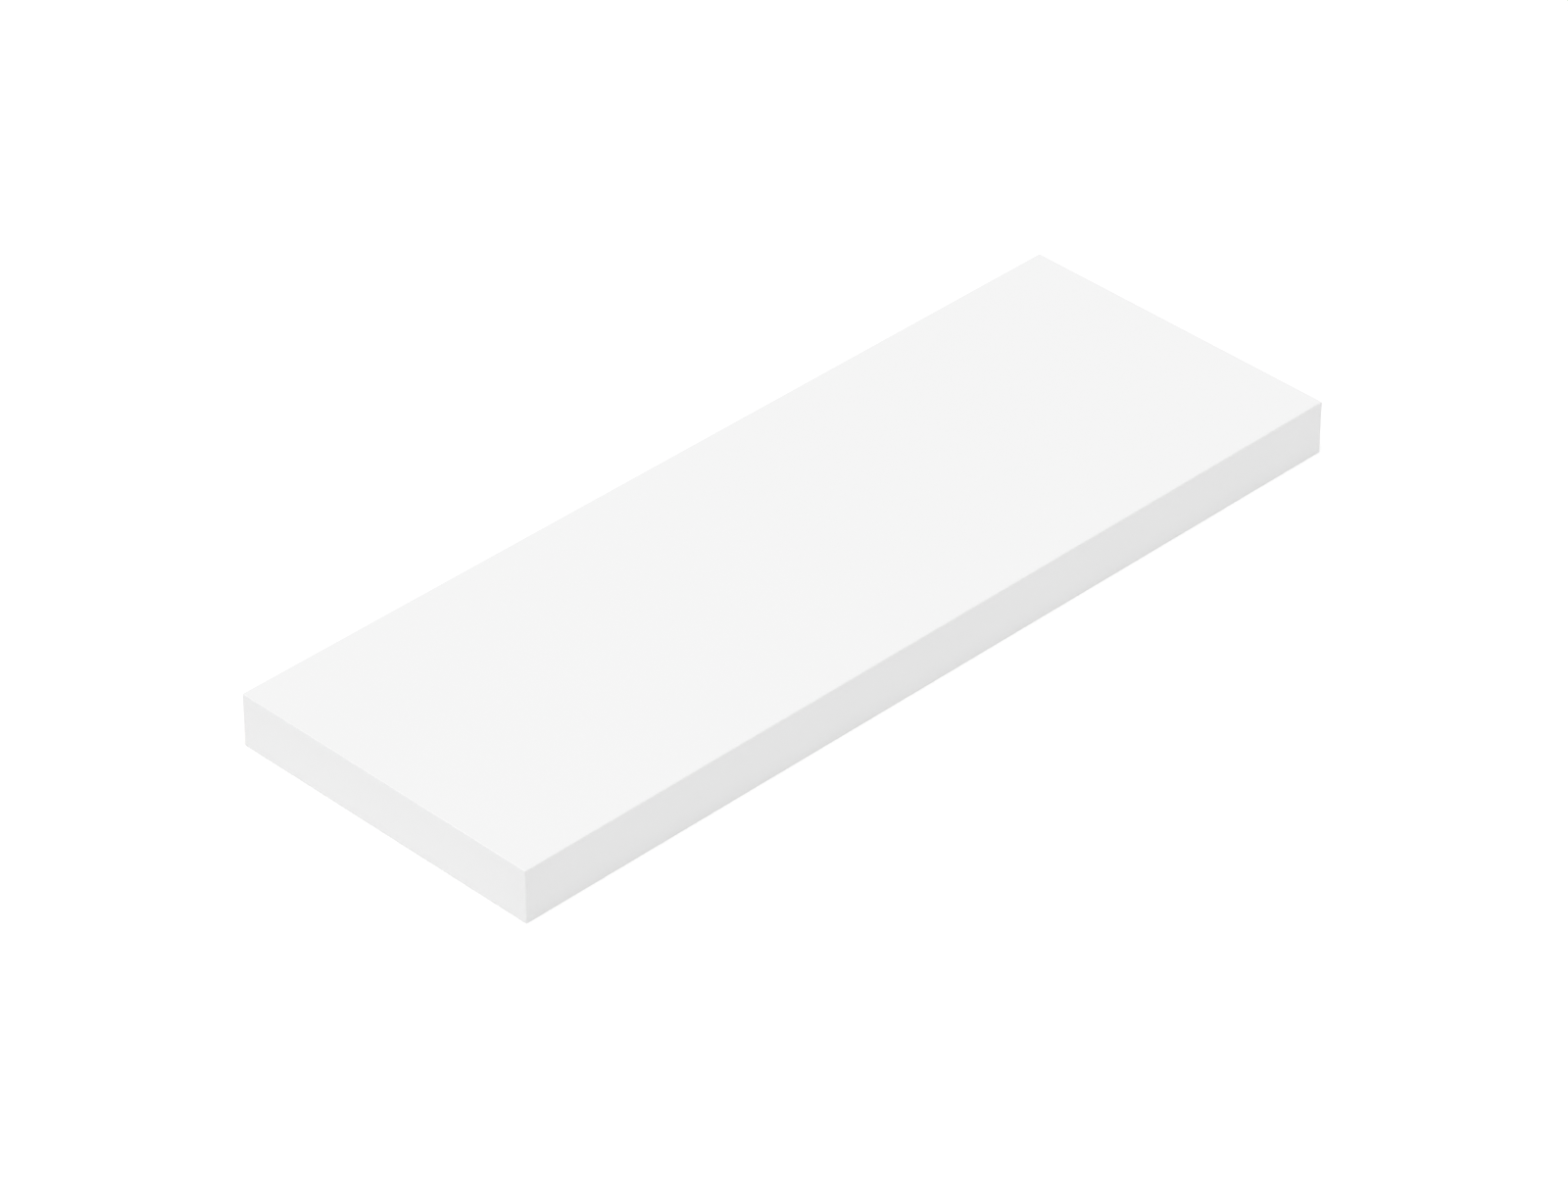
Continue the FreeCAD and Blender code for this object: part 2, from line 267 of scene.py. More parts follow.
class Graph:
    """Writes a node tree, one node at a time."""

    def __init__(self, tree: bpy.types.NodeTree) -> None:
        """Takes over a node tree and empties it."""
        self.tree = tree
        self.tree.nodes.clear()

    def node(
        self,
        kind: str,
        settings: Mapping[str, Any] | None = None,
        inputs: Mapping[str | int, Any] | None = None,
        output: str | int = 0,
    ) -> Flow:
        """Adds one shader node.

        Args:
            kind: The node's type without its ShaderNode prefix.
            settings: Properties that are set before any socket. "stops" fills a colour ramp.
            inputs: A number, a colour, a vector or a Flow for each socket, by name or place.
            output: The output that the result stands for.

        Returns:
            The chosen output.
        """
        made = self.tree.nodes.new("ShaderNode" + kind)
        for name, value in (settings or {}).items():
            if name == "stops":
                self._set_stops(made.color_ramp, value)
            else:
                setattr(made, name, value)
        for name, value in (inputs or {}).items():
            if isinstance(value, Flow):
                self.tree.links.new(value.socket, made.inputs[name])
            else:
                made.inputs[name].default_value = value
        return Flow(self, made.outputs[output] if made.outputs else None)

    @staticmethod
    def _set_stops(ramp: bpy.types.ColorRamp, stops: Sequence[tuple[float, Colour]]) -> None:
        """Gives a colour ramp its stops.

        Args:
            ramp: The ramp, with its first two stops.
            stops: (position, colour) pairs in order.
        """
        while len(ramp.elements) < len(stops):
            ramp.elements.new(0.5)
        for element, (position, colour) in zip(ramp.elements, stops):
            element.position = position
            element.color = colour

    def place(self) -> Flow:
        """The point on the piece, in the row's frame."""
        return self.node("TexCoord", output="Object")

    def along(self, vector: Flow, axis: Axis) -> Flow:
        """The vector's part along an axis."""
        return self.node("SeparateXYZ", {}, {"Vector": vector}, axis.name)

    def stretched(self, vector: Flow, shares: Sequence[float]) -> Flow:
        """The vector with each axis multiplied by its share."""
        return self.node("Mapping", {}, {"Vector": vector, "Scale": tuple(shares)})

    def shaken(self, vector: Flow, size: float, reach: float) -> Flow:
        """The vector pushed about by noise.

        Args:
            vector: The vector to push.
            size: Size of the noise's lumps.
            reach: Longest push.

        Returns:
            The pushed vector.
        """
        push = self.noise(vector, Grain(size)).output("Color")
        centred = self.node("VectorMath", {"operation": "SUBTRACT"}, {0: push, 1: (0.5, 0.5, 0.5)})
        scaled = self.node("VectorMath", {"operation": "SCALE"}, {0: centred, "Scale": 2 * reach})
        return self.node("VectorMath", {"operation": "ADD"}, {0: vector, 1: scaled})

    def noise(self, vector: Flow, grain: Grain) -> Flow:
        """Fractal noise.

        Args:
            vector: Where it is read.
            grain: Its size, detail and stretch.

        Returns:
            The noise, from 0 to 1.
        """
        if grain.stretch != Grain.stretch:
            vector = self.stretched(vector, grain.stretch)
        inputs = {"Vector": vector, "Scale": 1 / grain.size, "Detail": grain.detail}
        return self.node("TexNoise", {}, inputs)

    def patches(self, vector: Flow, grain: Grain) -> Flow:
        """A grain's noise, made patches by its span."""
        return self.noise(vector, grain).rise(*grain.span)

    def cells(self, vector: Flow, size: float, feature: str = "F1") -> Flow:
        """Voronoi cells of about the given size: the distance output of the chosen feature."""
        inputs = {"Vector": vector, "Scale": 1 / size}
        return self.node("TexVoronoi", {"feature": feature}, inputs, "Distance")

    def ramp(self, factor: Flow, *stops: tuple[float, Colour]) -> Flow:
        """A colour ramp over the factor."""
        return self.node("ValToRGB", {"stops": stops}, {"Fac": factor})

    def mix(self, factor: "float | Flow", first: "Colour | Flow", second: "Colour | Flow") -> Flow:
        """A colour between the first, at 0, and the second, at 1."""
        inputs = {MIX_FACTOR: factor, MIX_FIRST: first, MIX_SECOND: second}
        return self.node("Mix", {"data_type": "RGBA"}, inputs, MIX_RESULT)

    def bump(self, height: Flow, depth: float) -> Flow:
        """A normal bent by a height from 0 to 1 that stands for the given depth."""
        return self.node("Bump", {}, {"Strength": 1.0, "Distance": depth, "Height": height})

    def surface(self, inputs: Mapping[str, Any]) -> None:
        """Ends a material with a Principled shader.

        Args:
            inputs: Values and links for the shader's sockets, by name.
        """
        shader = self.node("BsdfPrincipled", {}, inputs)
        self.node("OutputMaterial", {}, {"Surface": shader})


@dataclass(frozen=True)
class Finish(ABC):
    """What every finish has: a name, the record's slot that it belongs to, a colour, a roughness."""

    label: str
    slot: Slot | None
    colour: Colour
    roughness: float

    @abstractmethod
    def paint(self, graph: Graph) -> None:
        """Writes the finish's nodes into a graph."""

    def darker(self, share: float) -> Colour:
        """The colour with a share of its light taken away."""
        red, green, blue, alpha = self.colour
        return (red * (1 - share), green * (1 - share), blue * (1 - share), alpha)

    @cache
    def material(self) -> bpy.types.Material:
        """The finish's material, made the first time that it is asked for.

        Returns:
            The material.
        """
        made = bpy.data.materials.new(self.label)
        made.use_nodes = True
        made.diffuse_color = self.colour
        self.paint(Graph(made.node_tree))
        return made


@dataclass(frozen=True)
class WhiteFoil(Finish):
    """Satin white plastic with a fine pearl texture, as on melamine foil and edge band."""

    cloud: Grain = Grain(90 * MM, shade=0.012, dulling=0.08)
    pearl: Grain = Grain(0.9 * MM, dulling=0.10)
    pearl_depth: float = 0.05 * MM
    scraped_from: float | None = None  # height above which the trimmed arris is smoother
    scraped_blend: float = 0.3 * MM
    scraped_flatness: float = 0.8
    scraped_gloss: float = 0.12

    def paint(self, graph: Graph) -> None:
        """Writes the nodes.

        Args:
            graph: The material's graph.
        """
        place = graph.place()
        cloud, pearl = graph.noise(place, self.cloud), graph.noise(place, self.pearl)
        roughness = self.roughness + cloud.swing(self.cloud.dulling) + pearl.swing(self.pearl.dulling)
        if self.scraped_from is not None:
            height = abs(graph.along(place, Axis.Z))
            scraped = height.rise(self.scraped_from, self.scraped_from + self.scraped_blend)
            pearl = pearl * (1 - self.scraped_flatness * scraped)
            roughness = roughness - self.scraped_gloss * scraped
        graph.surface({
            "Base Color": graph.mix(cloud, self.colour, self.darker(self.cloud.shade)),
            "Roughness": roughness,
            "Normal": graph.bump(pearl, self.pearl_depth),
        })


@dataclass(frozen=True)
class Fibreboard(Finish):
    """Raw high-density fibreboard: felted fibres in pressed layers, denser near both faces."""

    fibre: Grain = Grain(0.8 * MM, 5.0, (1, 1, 3), (0.38, 0.62), shade=0.40, dulling=0.12)
    fibre_share: float = 0.6  # of the texture; the rest is layers
    layer: Grain = Grain(0.45 * MM, stretch=(0.08, 0.08, 1))
    relief: float = 0.12 * MM
    mid_height: float = middle("top_skin").z
    half_thickness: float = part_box("top_skin")[1].z - middle("top_skin").z
    dense_from: float = 0.45  # of the half thickness
    dense_cover: float = 0.8
    dense_shade: float = 0.42
    dense_gloss: float = 0.08

    def paint(self, graph: Graph) -> None:
        """Writes the nodes.

        Args:
            graph: The material's graph.
        """
        place = graph.place()
        felt = graph.noise(place, self.fibre)
        texture = felt.weighed(self.fibre_share, graph.noise(place, self.layer))
        depth = abs(abs(graph.along(place, Axis.Z)) - self.mid_height)
        dense = depth.rise(self.dense_from * self.half_thickness, self.half_thickness)
        pale = texture.rise(*self.fibre.span)
        fibres = graph.mix(pale, self.darker(self.fibre.shade), self.colour)
        graph.surface({
            "Base Color": graph.mix(dense * self.dense_cover, fibres, self.darker(self.dense_shade)),
            "Roughness": self.roughness + felt.swing(self.fibre.dulling) - dense * self.dense_gloss,
            "Normal": graph.bump(texture, self.relief),
        })


@dataclass(frozen=True)
class Chipboard(Finish):
    """Sawn particleboard: coarse flakes in the middle, fine dust near the faces, small voids darkened
    with painted shade.
    """

    coarse: float = 4.2 * MM
    fine: float = 1.3 * MM
    fine_from: float = 13 * MM  # height above the board's middle where the fine layer starts
    fine_blend: float = 3 * MM
    flatness: float = 4.5  # how much thinner a flake is than it is long
    lump_size: float = 5 * MM
    lump_push: float = 1.1 * MM
    flake_share: float = 0.75  # of the tone; the rest is fibres
    # place on the ramp, and shade or colour
    flake_tones: tuple[Span, ...] = ((0.10, 0.62), (0.28, 0.36), (0.50, 0.14), (0.72, 0.0))
    flake_relief: float = 0.5
    pale_flake: tuple[float, Colour] = (0.90, (0.71, 0.56, 0.36, 1.0))
    fibre: Grain = Grain(0.8 * MM, 4.0, (1, 1, 8), dulling=0.15)
    fibre_relief: float = 0.3
    gap: float = 0.085  # between flakes, as a share of a coarse one
    # small voids between flakes, sunk by the bump; their shade is painted shade in the holes
    void: Grain = Grain(3.5 * MM, span=(0.50, 0.62), shade=0.85)
    relief: float = 0.28 * MM

    def paint(self, graph: Graph) -> None:
        """Writes the nodes.

        Args:
            graph: The material's graph.
        """
        place = graph.place()
        bent = graph.stretched(graph.shaken(place, self.lump_size, self.lump_push), (1, 1, self.flatness))
        big, small = graph.cells(bent, self.coarse), graph.cells(bent, self.fine)
        height = abs(graph.along(place, Axis.Z))
        near_face = height.rise(self.fine_from, self.fine_from + self.fine_blend)
        picked = graph.mix(near_face, big.output("Color"), small.output("Color"))
        flake = graph.node("SeparateColor", {}, {"Color": picked}, "Red")
        fibre = graph.noise(place, self.fibre)
        gap = graph.cells(bent, self.coarse, "DISTANCE_TO_EDGE").rise(self.gap, 0.0)
        void = gap * graph.patches(place, self.void) * (1 - near_face)
        tones = [(at, self.darker(shade)) for at, shade in self.flake_tones]
        wood = graph.ramp(flake.weighed(self.flake_share, fibre), *tones, self.pale_flake)
        bumps = flake * self.flake_relief + fibre * self.fibre_relief - void
        graph.surface({
            # the voids' darker colour is painted shade in the holes
            "Base Color": graph.mix(void, wood, self.darker(self.void.shade)),
            "Roughness": self.roughness + fibre * self.fibre.dulling,
            "Normal": graph.bump(bumps, self.relief),
        })


@dataclass(frozen=True)
class PlanedPine(Finish):
    """Planed pine, with growth rings round a heart line that runs along each rib, below it."""

    ring_spacing: float = 3.2 * MM
    ring_span: Span = (-0.2, 1.0)  # of the rings' wave, from early to late wood
    late_wood: Colour = (0.42, 0.21, 0.08, 1.0)
    late_share: float = 0.8  # of the tone; the rest is pores
    late_relief: float = 0.4
    rib_spacing: float = middle("rib_far_right").x - middle("rib_near_right").x
    heart_x: float = middle("rib_near_right").x - 14 * MM
    heart_z: float = -38 * MM
    drift_size: float = 60 * MM
    drift_push: float = 5 * MM
    pore: Grain = Grain(0.5 * MM, 3.0, (1, 0.03, 1), dulling=0.15)
    relief: float = 0.04 * MM

    def paint(self, graph: Graph) -> None:
        """Writes the nodes.

        Args:
            graph: The material's graph.
        """
        drift = graph.shaken(graph.place(), self.drift_size, self.drift_push)
        aside = graph.along(drift, Axis.X).folded(self.rib_spacing) - self.heart_x
        radius = hypotenuse(aside, graph.along(drift, Axis.Z) - self.heart_z)
        late = (radius * (FULL_TURN / self.ring_spacing)).sine().rise(*self.ring_span)
        pores = graph.noise(drift, self.pore)
        graph.surface({
            "Base Color": graph.mix(late.weighed(self.late_share, pores), self.colour, self.late_wood),
            "Roughness": self.roughness + pores * self.pore.dulling,
            "Normal": graph.bump(pores - late * self.late_relief, self.relief),
        })


@dataclass(frozen=True)
class KraftPaper(Finish):
    """Brown recycled paper with visible fibres."""

    fibre: Grain = Grain(0.5 * MM, 5.0, (1, 1, 0.25), (0.3, 0.7), shade=0.25, dulling=0.1)
    blotch: Grain = Grain(9 * MM, shade=0.2)
    blotch_cover: float = 0.4
    relief: float = 0.05 * MM

    def paint(self, graph: Graph) -> None:
        """Writes the nodes.

        Args:
            graph: The material's graph.
        """
        place = graph.place()
        fibre = graph.noise(place, self.fibre)
        blotch = graph.noise(place, self.blotch) * self.blotch_cover
        tone = graph.mix(fibre.rise(*self.fibre.span), self.darker(self.fibre.shade), self.colour)
        graph.surface({
            "Base Color": graph.mix(blotch, tone, self.darker(self.blotch.shade)),
            "Roughness": self.roughness + fibre.swing(self.fibre.dulling),
            "Normal": graph.bump(fibre, self.relief),
        })


@dataclass(frozen=True)
class PowderCoat(Finish):
    """Satin black powder coat with orange peel whose hollows carry painted shade, scuffed on a piece that
    slides into wood.
    """

    cloud: Grain = Grain(35 * MM, dulling=0.06)
    cloud_share: float = 0.3  # of the darkening mask, as random cloudy tone; the rest is painted shade in the peel's hollows
    peel: Grain = Grain(1.1 * MM, 1.0, span=(0.62, 0.34))
    peel_share: float = 0.85  # of the relief; the rest is grit
    peel_depth: float = 0.06 * MM
    grit: Grain = Grain(0.25 * MM, dulling=0.10)
    # how dark the painted shade in the peel's hollows and the cloudy tone make the coat
    hollow_shade: float = 0.38
    hollow_dulling: float = 0.10
    sliding_tip: float | None = None  # Y of the tip of a piece that slides
    scuffed_length: float = 150 * MM
    scuff_gloss: float = 0.12
    streak: Grain = Grain(0.7 * MM, 3.0, (1, 0.02, 1), (0.52, 0.70))
    patch: Grain = Grain(16 * MM, span=(0.40, 0.65))
    edge_from_tip: float = 2.0 * MM
    edge_span: Span = (0.6 * MM, 0.1 * MM)
    chip: Grain = Grain(2 * MM, span=(0.38, 0.58))
    burnished: Colour = grey(0.085)
    steel: Colour = grey(0.42)

    def paint(self, graph: Graph) -> None:
        """Writes the nodes.

        Args:
            graph: The material's graph.
        """
        place = graph.place()
        peel, grit = graph.noise(place, self.peel), graph.noise(place, self.grit)
        cloud = graph.noise(place, self.cloud)
        # hollow mixes random cloudy tone with painted shade in the peel's hollows
        hollow = cloud.weighed(self.cloud_share, peel.rise(*self.peel.span))
        sockets = {
            "Base Color": graph.mix(hollow, self.colour, self.darker(self.hollow_shade)),
            "Roughness": (
                self.roughness + cloud * self.cloud.dulling + grit * self.grit.dulling
                + hollow * self.hollow_dulling
            ),
            "Normal": graph.bump(peel.weighed(self.peel_share, grit), self.peel_depth),
        }
        if self.sliding_tip is not None:
            self._scuff(graph, place, sockets)
        graph.surface(sockets)

    def _scuff(self, graph: Graph, place: Flow, sockets: dict[str, Flow]) -> None:
        """Burnishes streaks towards the tip and bares the steel on the tip's edge.

        Args:
            graph: The material's graph.
            place: The point on the piece.
            sockets: What feeds the shader so far, which is changed.
        """
        from_tip = graph.along(place, Axis.Y) - self.sliding_tip
        near_tip = from_tip.rise(self.scuffed_length, 0.0)
        scuff = near_tip * graph.patches(place, self.streak) * graph.patches(place, self.patch)
        edge = abs(from_tip - self.edge_from_tip).rise(*self.edge_span)
        bare = edge * graph.patches(place, self.chip)
        worn = graph.mix(scuff, sockets["Base Color"], self.burnished)
        sockets["Base Color"] = graph.mix(bare, worn, self.steel)
        sockets["Roughness"] = sockets["Roughness"] - self.scuff_gloss * scuff
        sockets["Metallic"] = bare


@dataclass(frozen=True)
class TurnedBrass(Finish):
    """Turned brass, with fine tool rings round an upright axis at the same distance each side."""

    axis_x: float = middle("insert_right").x
    axis_y: float = middle("insert_right").y
    ring_pitch: float = 0.30 * MM
    ring_depth: float = 0.012 * MM
    tarnish: Grain = Grain(3 * MM, 4.0, span=(0.4, 0.8), shade=0.20, dulling=0.16)

    def paint(self, graph: Graph) -> None:
        """Writes the nodes.

        Args:
            graph: The material's graph.
        """
        place = graph.place()
        aside = abs(graph.along(place, Axis.X)) - self.axis_x
        radius = hypotenuse(aside, graph.along(place, Axis.Y) - self.axis_y)
        rings = (radius * (FULL_TURN / self.ring_pitch)).sine()
        tarnish = graph.noise(place, self.tarnish)
        stain = tarnish.rise(*self.tarnish.span)
        graph.surface({
            "Base Color": graph.mix(stain, self.colour, self.darker(self.tarnish.shade)),
            "Roughness": self.roughness + tarnish * self.tarnish.dulling,
            "Metallic": 1.0,
            "Normal": graph.bump(rings * 0.5 + 0.5, self.ring_depth),
        })


@dataclass(frozen=True)
class BlackOxide(Finish):
    """Blackened, lightly oiled steel, browner and duller in patches."""

    metal: float = 0.85  # how much of it reads as bare metal
    rusty: Colour = (0.055, 0.042, 0.034, 1.0)
    patch: Grain = Grain(2.2 * MM, 3.0, span=(0.35, 0.75), dulling=0.14)
    grit: Grain = Grain(0.12 * MM, dulling=0.08)
    grit_depth: float = 0.006 * MM

    def paint(self, graph: Graph) -> None:
        """Writes the nodes.

        Args:
            graph: The material's graph.
        """
        place = graph.place()
        patch, grit = graph.patches(place, self.patch), graph.noise(place, self.grit)
        graph.surface({
            "Base Color": graph.mix(patch, self.colour, self.rusty),
            "Roughness": self.roughness + patch * self.patch.dulling + grit * self.grit.dulling,
            "Metallic": self.metal,
            "Normal": graph.bump(grit, self.grit_depth),
        })


@dataclass(frozen=True)
class StudioPaper(Finish):
    """White paper that glows a little, so that it stays white all round the shelf."""

    glow: float = 0.44
    sheen: float = 0.1
    fibre: Grain = Grain(1.5 * MM, 3.0, shade=0.01)

    def paint(self, graph: Graph) -> None:
        """Writes the nodes.

        Args:
            graph: The material's graph.
        """
        fibre = graph.noise(graph.place(), self.fibre)
        graph.surface({
            "Base Color": graph.mix(fibre, self.colour, self.darker(self.fibre.shade)),
            "Roughness": self.roughness,
            "Specular IOR Level": self.sheen,
            "Emission Color": grey(1.0),
            "Emission Strength": self.glow,
        })


FOIL = WhiteFoil("white_foil", Slot.LAMINATE, grey(0.84), roughness=0.40)
BAND = WhiteFoil("white_band", Slot.EDGE_BAND, grey(0.84), roughness=0.44, scraped_from=24.3 * MM)
FIBREBOARD = Fibreboard("raw_fibreboard", Slot.FIBREBOARD, (0.33, 0.195, 0.098, 1.0), roughness=0.84)
CHIPBOARD = Chipboard("chipboard", Slot.PARTICLEBOARD, (0.52, 0.355, 0.195, 1.0), roughness=0.80)
PINE = PlanedPine("planed_pine", Slot.PINE, (0.66, 0.45, 0.24, 1.0), roughness=0.62)
KRAFT = KraftPaper("kraft_paper", Slot.HONEYCOMB, (0.36, 0.235, 0.13, 1.0), roughness=0.86)
BRASS = TurnedBrass("turned_brass", Slot.BRASS, (0.80, 0.58, 0.27, 1.0), roughness=0.22)
OXIDE = BlackOxide("black_oxide", Slot.SCREW, (0.035, 0.035, 0.038, 1.0), roughness=0.28)
PAPER = StudioPaper("studio_paper", None, grey(0.60), roughness=0.9)


@dataclass(frozen=True)
class Outline:
    """A rounded rectangle. A slot's corners are as wide as it is, and a round hole is all corners."""

    centre: tuple[float, float]
    half_length: float
    half_width: float
    corner: float

    def offset(self, by: float) -> "Outline":
        """The outline moved outwards by a distance."""
        return Outline(self.centre, self.half_length + by, self.half_width + by, self.corner + by)


class Workpiece:
    """A mesh in the making: a bmesh and the operations that the pieces share."""

    outline_steps: int = 40

    def __init__(self) -> None:
        """Starts with nothing on the bench."""
        self.bm = bmesh.new()

    def block(self, low: Vector, high: Vector) -> None:
        """Adds a block between two corners."""
        place = Matrix.Translation((low + high) / 2) @ Matrix.Diagonal((*(high - low), 1.0))
        bmesh.ops.create_cube(self.bm, size=1.0, matrix=place)

    def round_over(
        self, radius: float, segments: int, chosen: Callable[[bmesh.types.BMEdge], bool]
    ) -> None:
        """Rounds edges over.

        Args:
            radius: The rounding's radius.
            segments: Faces across the rounding.
            chosen: Says of each edge whether it is rounded.
        """
        bmesh.ops.bevel(
            self.bm,
            geom=[edge for edge in self.bm.edges if chosen(edge)],
            offset=radius,
            offset_type="OFFSET",
            affect="EDGES",
            segments=segments,
            profile=0.5,
            material=-1,
        )

    def saw(self, at: Vector, off: Vector) -> list[bmesh.types.BMFace]:
        """Cuts the piece in a plane and closes the cut.

        Args:
            at: A point on the plane.
            off: The plane's normal, on the side that is thrown away.

        Returns:
            The faces that close the cut.
        """
        everything = [*self.bm.verts, *self.bm.edges, *self.bm.faces]
        bmesh.ops.bisect_plane(
            self.bm, geom=everything, dist=TOUCH, plane_co=at, plane_no=off, clear_outer=True
        )
        rim = [
            edge for edge in self.bm.edges
            if edge.is_boundary and all(abs((v.co - at).dot(off)) < IN_PLANE for v in edge.verts)
        ]
        return bmesh.ops.holes_fill(self.bm, edges=rim, sides=0)["faces"]

    def turn(
        self, profile: Profile, centre: Vector, axis: Vector, steps: int, closed: bool = False
    ) -> None:
        """Turns a profile on the lathe.

        Args:
            profile: (radius, distance along the axis) points in order.
            centre: Where the axis starts.
            axis: The axis's direction.
            steps: Faces in a full turn.
            closed: Whether the last point joins the first, as in a ring's section.
        """
        across = axis.orthogonal().normalized()
        verts = [self.bm.verts.new(centre + across * r + axis * a) for r, a in profile]
        line = verts + verts[:1] if closed else verts
        edges = [self.bm.edges.new(pair) for pair in pairwise(line)]
        bmesh.ops.spin(
            self.bm, geom=verts + edges, cent=centre, axis=axis, dvec=(0, 0, 0),
            angle=FULL_TURN, steps=steps, use_merge=True, use_duplicate=False,
        )
        self.tidy()

    def _draw(self, outline: Outline, height: float, plane: Matrix) -> list[bmesh.types.BMEdge]:
        """Draws an outline: a circle whose quarters are moved apart.

        Args:
            outline: The outline.
            height: Its height above the plane.
            plane: The plane's place.

        Returns:
            Its edges.
        """
        half_step = math.pi / self.outline_steps
        circle = bmesh.ops.create_circle(
            self.bm, cap_ends=False, radius=outline.corner / math.cos(half_step),
            segments=self.outline_steps, matrix=Matrix.Rotation(half_step, 4, "Z"),
        )["verts"]
        for vert in circle:
            vert.co.x += math.copysign(outline.half_length - outline.corner, vert.co.x)
            vert.co.y += math.copysign(outline.half_width - outline.corner, vert.co.y)
            vert.co += Vector((*outline.centre, height))
        bmesh.ops.transform(self.bm, matrix=plane, verts=circle)
        return list(dict.fromkeys(edge for vert in circle for edge in vert.link_edges))

    def sheet(
        self,
        outer: Outline,
        holes: Sequence[Outline],
        outer_wall: Profile,
        hole_wall: Profile,
        plane: Matrix,
    ) -> None:
        """Adds a sheet with holes in it.

        Args:
            outer: The sheet's outline.
            holes: The holes' outlines.
            outer_wall: (height, inset) points up the outer wall.
            hole_wall: The same for each hole, whose insets widen it.
            plane: The place of the plane that heights start from.
        """
        walls = [[self._draw(outer.offset(-inset), height, plane) for height, inset in outer_wall]]
        for hole in holes:
            walls.append([self._draw(hole.offset(inset), height, plane) for height, inset in hole_wall])
        for rings in walls:
            for near, far in pairwise(rings):
                bmesh.ops.bridge_loops(self.bm, edges=near + far)
        for end in (0, -1):
            rims = [edge for rings in walls for edge in rings[end]]
            bmesh.ops.triangle_fill(self.bm, edges=rims, use_beauty=True, use_dissolve=False)
        self.tidy()

    def tidy(self, reach: float = TOUCH) -> None:
        """Merges points closer than reach and turns every face outwards."""
        bmesh.ops.remove_doubles(self.bm, verts=self.bm.verts, dist=reach)
        bmesh.ops.recalc_face_normals(self.bm, faces=self.bm.faces)

    def shade(self, flat_along: Iterable[Axis] = (), crease: float = 28.0) -> None:
        """Sets which faces and edges are shaded smooth.

        Args:
            flat_along: Faces that look along these axes stay flat.
            crease: Edges that turn by more than this, in degrees, stay sharp.
        """
        self.bm.normal_update()
        flats = [axis.value for axis in flat_along]
        for face in self.bm.faces:
            face.smooth = not any(abs(face.normal.dot(axis)) > ALIGNED for axis in flats)
        for edge in self.bm.edges:
            edge.smooth = edge.is_manifold and edge.calc_face_angle() < math.radians(crease)

    def finish(
        self, name: str, look: Finish, body: Body, replaced: Sequence[str]
    ) -> bpy.types.Object:
        """Makes the mesh an object that rides on a body.

        Args:
            name: The piece's name.
            look: Its finish.
            body: The body that it moves with.
            replaced: The frame's nodes that it stands for.

        Returns:
            The new object.
        """
        mesh = bpy.data.meshes.new(name)
        self.bm.to_mesh(mesh)
        self.bm.free()
        mesh.materials.append(look.material())
        piece = put_in_scene(name, mesh)
        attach(piece, body.value)
        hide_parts(*replaced)
        return piece


class SubAssembly(ABC):
    """A group of pieces that is made and dressed together."""

    @abstractmethod
    def build(self) -> Iterator[bpy.types.Object]:
        """Makes the new pieces, one by one."""

    def dress(self) -> Mapping[str, Finish]:
        """The frame's own nodes that stay, each with its finish: none, unless a class has some."""
        return {}


